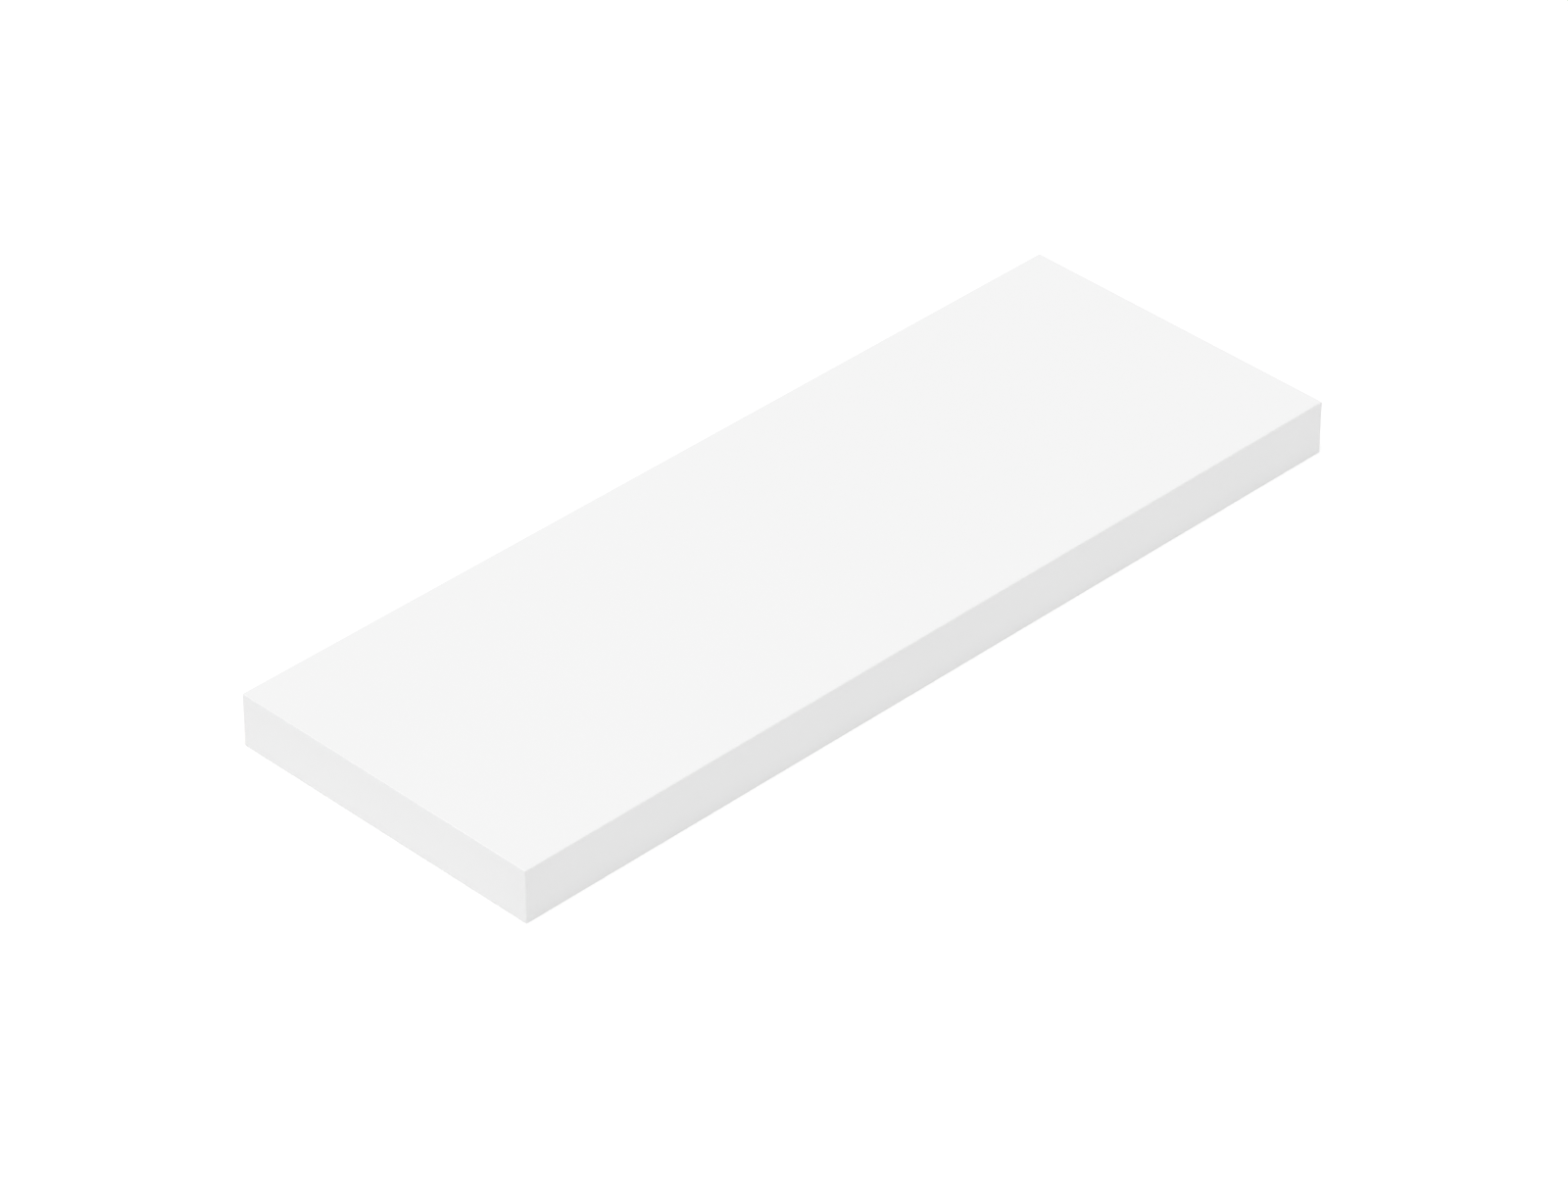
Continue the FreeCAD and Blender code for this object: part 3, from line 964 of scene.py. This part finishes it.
@dataclass
class Board(SubAssembly):
    """The laminated hollow board: foil, skins, rails, ribs, honeycomb and edge band."""

    arris: float = 0.6 * MM
    arris_segments: int = 5
    seam: float = 0.05 * MM  # easing of each glued edge, which leaves a hairline between pieces
    seam_segments: int = 2
    corner_turn: float = math.radians(30)  # a glued corner turns by more than this
    insert_clearance: float = 0.1 * MM
    low: Vector = field(default_factory=lambda: cad_box[0].copy())
    high: Vector = field(default_factory=lambda: cad_box[1].copy())

    def __post_init__(self) -> None:
        """Reads the core's corners from the frame."""
        self.core_low, self.core_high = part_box("top_laminate")

    def _blank(self) -> Workpiece:
        """The whole board as one block, rounded everywhere except at the wall.

        Returns:
            The block, from which each band is cut.
        """
        blank = Workpiece()
        blank.block(self.low, self.high)
        wall = self.high.y - TOUCH
        blank.round_over(
            self.arris, self.arris_segments,
            lambda edge: not all(vert.co.y > wall for vert in edge.verts),
        )
        return blank

    def _band(self, node: str, cuts: Sequence[tuple[Vector, Vector]]) -> bpy.types.Object:
        """One strip of edge band, with its glued corners eased.

        Args:
            node: The frame's node that it stands for.
            cuts: (point, normal) of each plane that cuts it from the blank.

        Returns:
            The band.
        """
        band = self._blank()
        for at, off in cuts:
            band.saw(at, off)

        def is_glued_corner(edge: bmesh.types.BMEdge) -> bool:
            """Tells the corners that lie in a cut from the other edges.

            Args:
                edge: An edge of the band.

            Returns:
                Whether it is such a corner.
            """
            in_cut = any(
                all(abs((vert.co - at).dot(off)) < IN_PLANE for vert in edge.verts)
                for at, off in cuts
            )
            return in_cut and edge.calc_face_angle(0) > self.corner_turn

        band.round_over(self.seam, self.seam_segments, is_glued_corner)
        band.shade(Axis)
        return band.finish(node.replace("_edge", ""), BAND, Body.SHELF, [node])

    def _foil(self, node: str, holes: Sequence[Outline] = ()) -> bpy.types.Object:
        """One sheet of foil, flush with the bands.

        Args:
            node: The frame's node that it stands for.
            holes: What is cut out of it.

        Returns:
            The foil.
        """
        low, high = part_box(node)
        glued, open_side = sorted((low.z, high.z), key=abs)
        eased = open_side - math.copysign(self.seam, open_side)
        wall = [(glued, 0.0), (eased, 0.0), (open_side, self.seam)]
        around = Outline((0.0, middle(node).y), high.x, (high.y - low.y) / 2, 2 * self.seam)
        foil = Workpiece()
        foil.sheet(around, holes, wall, wall, Matrix())
        foil.shade(Axis)
        return foil.finish(node.replace("laminate", "foil"), FOIL, Body.SHELF, [node])

    def build(self) -> Iterator[bpy.types.Object]:
        """Makes the bands and both foils.

        Yields:
            Each piece.
        """
        front = Vector((0, self.core_low.y, 0))
        yield self._band("front_edge_band", [(front, Axis.Y.value)])
        for side, inside in ((Side.LEFT, self.core_low), (Side.RIGHT, self.core_high)):
            cuts = [(inside, Axis.X.value * -side.value), (front, -Axis.Y.value)]
            yield self._band(f"{side.word}_edge_band", cuts)
        yield self._foil("top_laminate")
        holes = []
        for side in Side:
            insert = f"insert_{side.word}"
            radius = radius_of(insert) + self.insert_clearance
            holes.append(Outline(middle(insert).xy, radius, radius, radius))
        yield self._foil("bottom_laminate", holes)

    def dress(self) -> Mapping[str, Finish]:
        """The skins, rails, ribs and honeycomb, each with its finish.

        Returns:
            The finishes, by node.
        """
        looks = {"skin": FIBREBOARD, "rail": CHIPBOARD, "rib": PINE, "honeycomb": KRAFT}
        nodes = frame["record"]["behaviour"]["bodies"][Body.SHELF.value]
        return {
            node: look for node in nodes for word, look in looks.items() if word in node.split("_")
        }


@dataclass
class WallBracket(SubAssembly):
    """The bracket: a slotted flat bar with four rods welded into it."""

    corner: float = 3.0 * MM
    front_ease: float = 0.5 * MM
    hole_ease: float = 0.35 * MM
    back_ease: float = 0.2 * MM
    ease_steps: int = 3
    rod_fit: float = 0.03 * MM  # between the bar and a rod, all round
    rod_steps: int = 56
    rod_chamfer: float = 2.0 * MM
    rod_ease: float = 0.25 * MM
    weld_steps: int = 216
    weld_segments: int = 12
    weld_root: float = 0.2 * MM  # how deep a bead bites into the bar
    weld_fullness: float = 1.4  # 1 is a round bead, 2 a flat one
    ripples: int = 27
    ripple_height: float = 0.22 * MM
    ripple_lag: float = 1.3  # radians by which a ripple's edges trail its middle
    ripple_crest: float = 1.5  # above 1, a ripple's crest is narrower than its trough
    ripple_level: float = 0.7  # the part of a ripple that lies below the plain bead
    ripple_fade: float = 0.6 * MM  # length over which ripples die out at the bead's two toes
    lump_size: float = 2.2 * MM
    lump_height: float = 0.9  # in ripple heights
    weld_crease: float = 60.0
    rod_crease: float = 32.0
    coat: Colour = (0.026, 0.027, 0.029, 1.0)
    coat_roughness: float = 0.30

    def __post_init__(self) -> None:
        """Reads the bar's and the rods' sizes from the frame, and mixes the coats."""
        self.rods = [n for n in frame["nodes"] if n.startswith("rod_") and n != "rod_welds"]
        self.bar_low, self.bar_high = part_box("wall_plate")
        self.rod_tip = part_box(self.rods[0])[0].y
        self.rod_radius = radius_of(self.rods[0])
        self.plain = PowderCoat("powder_coat", Slot.STEEL, self.coat, self.coat_roughness)
        self.scuffed = replace(self.plain, label="scuffed_powder_coat", sliding_tip=self.rod_tip)

    def _wall(self, back_ease: float, front_ease: float) -> Profile:
        """The section of a wall through the bar, rounded at both faces.

        Args:
            back_ease: Rounding at the bar's back.
            front_ease: Rounding at its front.

        Returns:
            (height above the back, inset) points.
        """
        thickness = self.bar_high.y - self.bar_low.y
        turns = [QUARTER_TURN * k / self.ease_steps for k in range(self.ease_steps + 1)]
        arc = [(1 - math.cos(t), 1 - math.sin(t)) for t in turns]
        back = [(back_ease * up, back_ease * inset) for up, inset in arc]
        front = [(thickness - front_ease * up, front_ease * inset) for up, inset in reversed(arc)]
        return back + front

    def _openings(self) -> Iterator[Outline]:
        """The outline of each slot and hole in the bar.

        Yields:
            The screws' slots and holes from the record, then the rods' holes.
        """
        for name in ("wall_slots_inner", "wall_slots_outer", "wall_end_holes"):
            dims = mount(name)["dims"]
            radius = dims["hole_r_mm"] * MM
            half_length = dims.get("slot_length_mm", 2 * dims["hole_r_mm"]) * MM / 2
            for side in Side:
                at = side.value * dims["spacing_x_mm"] * MM / 2
                yield Outline((at, 0.0), half_length, radius, radius)
        for rod in self.rods:
            radius = self.rod_radius + self.rod_fit
            yield Outline((middle(rod).x, 0.0), radius, radius, radius)

    def _bar(self) -> bpy.types.Object:
        """The flat bar, with its slots and holes open and its edges eased.

        Returns:
            The bar.
        """
        bar = Workpiece()
        outer = Outline((0.0, 0.0), self.bar_high.x, self.bar_high.z, self.corner)
        facing_front = Matrix.Translation((0, self.bar_high.y, 0)) @ Matrix.Rotation(QUARTER_TURN, 4, "X")
        bar.sheet(
            outer,
            list(self._openings()),
            self._wall(self.back_ease, self.front_ease),
            self._wall(self.hole_ease, self.hole_ease),
            facing_front,
        )
        bar.shade([Axis.Y, Axis.Z])
        return bar.finish("bracket_bar", self.plain, Body.BRACKET, ["wall_plate"])

    def _rod(self, node: str) -> bpy.types.Object:
        """One rod, with an eased tip and a fine groove where it meets the bar's back.

        Args:
            node: The frame's node that it stands for.

        Returns:
            The rod.
        """
        radius, length, ease = self.rod_radius, -self.rod_tip, self.rod_ease
        chamfer_start, tip_radius = length - self.rod_chamfer, radius - self.rod_chamfer
        profile = [
            (0, 0),
            (radius - self.hole_ease, 0),
            (radius, self.hole_ease),
            (radius, chamfer_start - ease),
            (radius - ease / 3, chamfer_start + ease / 3),
            (tip_radius + ease / 2, length - ease / 2),
            (tip_radius - ease, length),
            (0, length),
        ]
        rod = Workpiece()
        rod.turn(profile, Vector((middle(node).x, 0, 0)), -Axis.Y.value, self.rod_steps)
        rod.shade(crease=self.rod_crease)
        return rod.finish(f"bracket_{node}", self.scuffed, Body.BRACKET, [node])

    def _ripple(self, vert: bmesh.types.BMVert, centre: Vector) -> None:
        """Moves a point of a bead in or out, so that the bead shows the weld pool's ripples.

        Args:
            vert: The point.
            centre: Where the rod's axis meets the wall.
        """
        offset = vert.co - centre
        turn = math.atan2(offset.z, offset.x)
        out = math.hypot(offset.x, offset.z) - self.rod_radius
        up = self.bar_low.y - vert.co.y
        lean = math.atan2(up, max(out, TOUCH))
        lag = self.ripple_lag * math.cos(4 * lean)  # one full wave from toe to toe
        wave = (0.5 + 0.5 * math.cos(self.ripples * turn + lag)) ** self.ripple_crest
        lump = self.lump_height * noise.noise(vert.co / self.lump_size)
        fade = max(0.0, min(1.0, out / self.ripple_fade, up / self.ripple_fade))
        radial = Vector((math.cos(turn), 0, math.sin(turn)))
        outwards = radial * math.cos(lean) - Axis.Y.value * math.sin(lean)
        vert.co += outwards * (self.ripple_height * fade * (wave - self.ripple_level + lump))

    def _welds(self) -> bpy.types.Object:
        """A rippled fillet bead round each rod.

        Returns:
            The four beads, as one piece.
        """
        leg = self.bar_low.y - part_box("rod_welds")[0].y
        inside, foot, full = self.rod_radius - self.rod_fit, -self.bar_low.y, self.weld_fullness
        turns = [QUARTER_TURN * k / self.weld_segments for k in range(self.weld_segments + 1)]
        face = [(inside + leg * math.cos(t) ** full, foot + leg * math.sin(t) ** full) for t in turns]
        root = [(inside, foot - self.weld_root), (inside + leg, foot - self.weld_root)]
        beads = Workpiece()
        for node in self.rods:
            centre = Vector((middle(node).x, 0, 0))
            before = set(beads.bm.verts)
            beads.turn(root + face, centre, -Axis.Y.value, self.weld_steps, closed=True)
            for vert in beads.bm.verts:
                if vert not in before:
                    self._ripple(vert, centre)
        beads.shade(crease=self.weld_crease)
        return beads.finish("weld_beads", self.plain, Body.BRACKET, ["rod_welds"])

    def build(self) -> Iterator[bpy.types.Object]:
        """Makes the bar, the rods and the weld beads.

        Yields:
            Each piece.
        """
        yield self._bar()
        for node in self.rods:
            yield self._rod(node)
        yield self._welds()


@dataclass
class LockingSet(SubAssembly):
    """The two brass inserts in the underside and their set screws."""

    steps: int = 72
    flange: float = 1.5 * MM
    barrel: float = 5.0 * MM
    bore: float = 3.02 * MM
    ease: float = 0.25 * MM
    mouth: float = 0.5 * MM  # countersink of the bore
    rib_pitch: float = 1.6 * MM
    rib_height: float = 0.45 * MM
    rib_course: tuple[float, ...] = (0.25, 0.50, 0.90)  # in pitches: foot, start and end of the crest
    driver_slot: tuple[float, float] = (4.3 * MM, 6.7 * MM)  # inner and outer radius
    driver_slot_depth: float = 0.6 * MM
    driver_slot_half_angle: float = math.radians(8)
    insert_crease: float = 32.0
    screw_crease: float = 35.0
    pitch: float = 1.0 * MM
    thread_depth: float = 0.58 * MM
    thread_steps: int = 36
    tooth: tuple[float, ...] = (0.22, 0.55, 0.67)  # in pitches: end of the root, crest's start and end
    thread_seam: float = 20 * TOUCH  # how far apart the two ends of a turn may be and still meet
    end_radius: float = 2.05 * MM  # of both flat ends, inside their chamfers
    socket_flats: float = 3.0 * MM
    socket_depth: float = 3.0 * MM
    drill_point: float = 0.4 * MM
    cup_rim: float = 0.3 * MM
    cup_depth: float = 1.2 * MM

    def _insert(self, side: Side) -> bpy.types.Object:
        """A flanged insert with a ribbed barrel and two slots for its driver.

        Args:
            side: The end of the shelf that it is nearer to.

        Returns:
            The insert.
        """
        node = f"insert_{side.word}"
        low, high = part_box(node)
        radius, length, ease = radius_of(node), high.z - low.z, self.ease
        bore_mouth = (self.bore + self.mouth, 0)
        flange = [
            (self.driver_slot[0], 0),
            (self.driver_slot[1], 0),
            (radius - ease, 0),
            (radius - ease / 3.5, ease / 3.5),
            (radius, ease),
            (radius, self.flange - ease / 2),
            (radius - ease / 2, self.flange),
        ]
        barrel = []
        foot, crest, crest_end = self.rib_course
        for k in range(int((length - self.flange) / self.rib_pitch)):
            start = self.flange + k * self.rib_pitch
            barrel += [
                (self.barrel - self.rib_height, start),
                (self.barrel - self.rib_height, start + foot * self.rib_pitch),
                (self.barrel, start + crest * self.rib_pitch),
                (self.barrel, start + crest_end * self.rib_pitch),
            ]
        end = [
            (self.barrel - self.rib_height, length),
            (self.bore + ease, length),
            (self.bore, length - ease),
            (self.bore, self.mouth),
        ]
        insert = Workpiece()
        base = Vector((*middle(node).xy, low.z))
        insert.turn([bore_mouth, *flange, *barrel, *end], base, Axis.Z.value, self.steps, closed=True)
        self._cut_driver_slots(insert, base)
        insert.shade([Axis.Z], crease=self.insert_crease)
        return insert.finish(f"brass_{node}", BRASS, Body.SHELF, [node])

    def _cut_driver_slots(self, insert: Workpiece, base: Vector) -> None:
        """Sinks two short slots into the flange's underside.

        Args:
            insert: The insert.
            base: The middle of its underside.
        """
        insert.bm.normal_update()
        inner, outer = self.driver_slot
        chosen = []
        for face in insert.bm.faces:
            offset = face.calc_center_median() - base
            turn = math.atan2(abs(offset.y), abs(offset.x))
            if face.normal.z < -ALIGNED and inner < offset.xy.length < outer:
                if turn < self.driver_slot_half_angle:
                    chosen.append(face)
        sunk = bmesh.ops.extrude_face_region(insert.bm, geom=chosen)
        moved = [item for item in sunk["geom"] if isinstance(item, bmesh.types.BMVert)]
        bmesh.ops.delete(insert.bm, geom=chosen, context="FACES_KEEP_BOUNDARY")
        bmesh.ops.translate(insert.bm, verts=moved, vec=Axis.Z.value * self.driver_slot_depth)
        insert.tidy()

    def _threaded_rod(self, base: Vector, crest: float, length: float) -> Workpiece:
        """A length of right-hand thread, cut flat at both ends and chamfered.

        A line of teeth is wound through one turn while it climbs one pitch, so that its last
        teeth meet its first ones.

        Args:
            base: The middle of its lower end.
            crest: Radius over the thread.
            length: Its length.

        Returns:
            The rod, closed at both ends.
        """
        root, up = crest - self.thread_depth, Axis.Z.value
        root_end, crest_start, crest_end = self.tooth
        tooth = [(root, 0.0), (root, root_end), (crest, crest_start), (crest, crest_end)]
        count = math.ceil(length / self.pitch) + 2
        teeth = [(r, (k + at) * self.pitch) for k in range(-1, count) for r, at in tooth]
        rod = Workpiece()
        verts = [rod.bm.verts.new(base + Vector((r, 0, at))) for r, at in teeth]
        edges = [rod.bm.edges.new(pair) for pair in pairwise(verts)]
        bmesh.ops.spin(
            rod.bm, geom=verts + edges, cent=base, axis=up, angle=FULL_TURN,
            dvec=up * (self.pitch / self.thread_steps), steps=self.thread_steps,
        )
        rod.tidy(reach=self.thread_seam)
        rod.saw(base, -up)
        rod.saw(base + up * length, up)
        rod.tidy()
        for vert in rod.bm.verts:
            offset = vert.co - base
            room = self.end_radius + max(0.0, min(offset.z, length - offset.z))
            if offset.xy.length > room:
                vert.co.xy = base.xy + offset.xy * (room / offset.xy.length)
        return rod

    def _sink_cup(self, screw: Workpiece) -> None:
        """Hollows the screw's upper end into a cup point.

        Args:
            screw: The screw.
        """
        top = max(screw.bm.faces, key=lambda face: face.calc_center_median().z)
        bmesh.ops.inset_region(screw.bm, faces=[top], thickness=self.cup_rim, use_even_offset=True)
        bmesh.ops.poke(screw.bm, faces=[top], offset=-self.cup_depth)

    def _sink_socket(self, screw: Workpiece, base: Vector) -> None:
        """Sinks a hex socket into the screw's lower end.

        Args:
            screw: The screw.
            base: The middle of its lower end.
        """
        bottom = min(screw.bm.faces, key=lambda face: face.calc_center_median().z)
        rim = list(bottom.edges)
        bmesh.ops.delete(screw.bm, geom=[bottom], context="FACES_ONLY")
        hexagon = bmesh.ops.create_circle(
            screw.bm, cap_ends=False, radius=self.socket_flats / math.sqrt(3), segments=6,
            matrix=Matrix.Translation(base),
        )["verts"]
        mouth = list(dict.fromkeys(edge for vert in hexagon for edge in vert.link_edges))
        bmesh.ops.triangle_fill(screw.bm, edges=rim + mouth, use_beauty=True, use_dissolve=False)
        walls = bmesh.ops.extrude_edge_only(screw.bm, edges=mouth)["geom"]
        deep = [item for item in walls if isinstance(item, bmesh.types.BMVert)]
        floor_rim = [
            item for item in walls
            if isinstance(item, bmesh.types.BMEdge) and all(vert in deep for vert in item.verts)
        ]
        bmesh.ops.translate(screw.bm, verts=deep, vec=Axis.Z.value * self.socket_depth)
        floor = bmesh.ops.contextual_create(screw.bm, geom=floor_rim)["faces"]
        screw.tidy()
        bmesh.ops.poke(screw.bm, faces=floor, offset=-self.drill_point)

    def _set_screw(self, side: Side) -> bpy.types.Object:
        """A threaded set screw with a cup point and a hex socket.

        Args:
            side: The end of the shelf that it is nearer to.

        Returns:
            The screw.
        """
        node = f"lock_screw_{side.word}"
        low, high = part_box(node)
        base = Vector((*middle(node).xy, low.z))
        screw = self._threaded_rod(base, radius_of(node), high.z - low.z)
        self._sink_cup(screw)
        self._sink_socket(screw, base)
        screw.shade([Axis.Z], crease=self.screw_crease)
        return screw.finish(f"set_screw_{side.word}", OXIDE, Body(node), [node])

    def build(self) -> Iterator[bpy.types.Object]:
        """Makes the inserts and the set screws.

        Yields:
            Each piece.
        """
        for side in Side:
            yield self._insert(side)
            yield self._set_screw(side)


@dataclass
class Studio:
    """The floor, the light and the camera."""

    floor_radius: float = 40.0
    floor_steps: int = 96
    backdrop: float = 1.05  # how bright the surround looks
    sky: float = 0.592  # how brightly it lights
    sky_tilt: float = 0.15  # how much brighter it is on the left
    key_power: float = 1.685
    key_softness: float = 40.0  # degrees across
    key_from: tuple[float, float, float] = (-0.12, 0.0, 0.993)
    lens: float = 163.4  # millimetres, as the sensor is
    sensor: float = 36.0
    clip: Span = (0.1, 100.0)
    azimuth: float = -44.91
    elevation: float = 35.18
    distance: float = 5.706
    off_centre: tuple[float, float] = (11.4 * MM, 16.3 * MM)  # left of and below the board's middle

    def _floor(self) -> None:
        """Lays a round white floor under the board."""
        sheet = bmesh.new()
        under = Matrix.Translation((0, 0, cad_box[0].z))
        bmesh.ops.create_circle(
            sheet, cap_ends=True, radius=self.floor_radius, segments=self.floor_steps, matrix=under
        )
        mesh = bpy.data.meshes.new("floor")
        sheet.to_mesh(mesh)
        sheet.free()
        mesh.materials.append(PAPER.material())
        put_in_scene("floor", mesh)

    def _sky(self) -> None:
        """Hangs a white surround that lights the shelf less brightly than it looks."""
        world = bpy.data.worlds.new("studio")
        world.use_nodes = True
        graph = Graph(world.node_tree)
        rightward = graph.along(graph.node("TexCoord", output="Generated"), Axis.X)
        lit = self.sky - self.sky_tilt * rightward
        level = lit + (self.backdrop - lit) * graph.node("LightPath", output="Is Camera Ray")
        light = graph.node("Background", {}, {"Color": grey(1.0), "Strength": level})
        graph.node("OutputWorld", {}, {"Surface": light})
        bpy.context.scene.world = world

    def _key(self) -> None:
        """Hangs one large soft light, almost overhead and a little to the left."""
        lamp = bpy.data.lights.new("key", "SUN")
        lamp.energy = self.key_power
        lamp.angle = math.radians(self.key_softness)
        key = put_in_scene("key", lamp)
        key.rotation_mode = "QUATERNION"
        key.rotation_quaternion = Vector(self.key_from).to_track_quat("Z", "Y")

    def _camera(self) -> None:
        """Sets up a long lens above the front left corner."""
        turn, lift = math.radians(self.azimuth), math.radians(self.elevation)
        level = math.cos(lift)
        back = Vector((math.sin(turn) * level, -math.cos(turn) * level, math.sin(lift)))
        right = Axis.Z.value.cross(back).normalized()
        up = back.cross(right)
        data = bpy.data.cameras.new("camera")
        data.lens = self.lens
        data.sensor_width = self.sensor
        data.clip_start, data.clip_end = self.clip
        camera = put_in_scene("camera", data)
        aim = (cad_box[0] + cad_box[1]) / 2 - right * self.off_centre[0] - up * self.off_centre[1]
        turned = Matrix((right, up, back)).transposed().to_4x4()
        camera.matrix_world = Matrix.Translation(aim + back * self.distance) @ turned
        bpy.context.scene.camera = camera

    def build(self) -> None:
        """Sets up the studio and plain colour handling."""
        self._floor()
        self._sky()
        self._key()
        self._camera()
        bpy.context.scene.view_settings.view_transform = "Standard"


def assign(node: str, look: Finish) -> None:
    """Gives one of the frame's nodes a finish.

    Args:
        node: The node's name.
        look: The finish.
    """
    shown = frame["nodes"][node]
    if not shown.material_slots:
        shown.data.materials.append(look.material())
    for slot in shown.material_slots:
        slot.material = look.material()


def main() -> None:
    """Makes and dresses each sub-assembly, then sets up the studio round them."""
    logging.basicConfig(level=logging.INFO, format="%(name)s: %(message)s")
    for assembly in (Board(), WallBracket(), LockingSet()):
        for piece in assembly.build():
            LOG.info("made %s, %d faces", piece.name, len(piece.data.polygons))
        for node, look in assembly.dress().items():
            assign(node, look)
            LOG.info("dressed %s in %s", node, look.label)
    Studio().build()


if __name__ == "__main__":
    main()
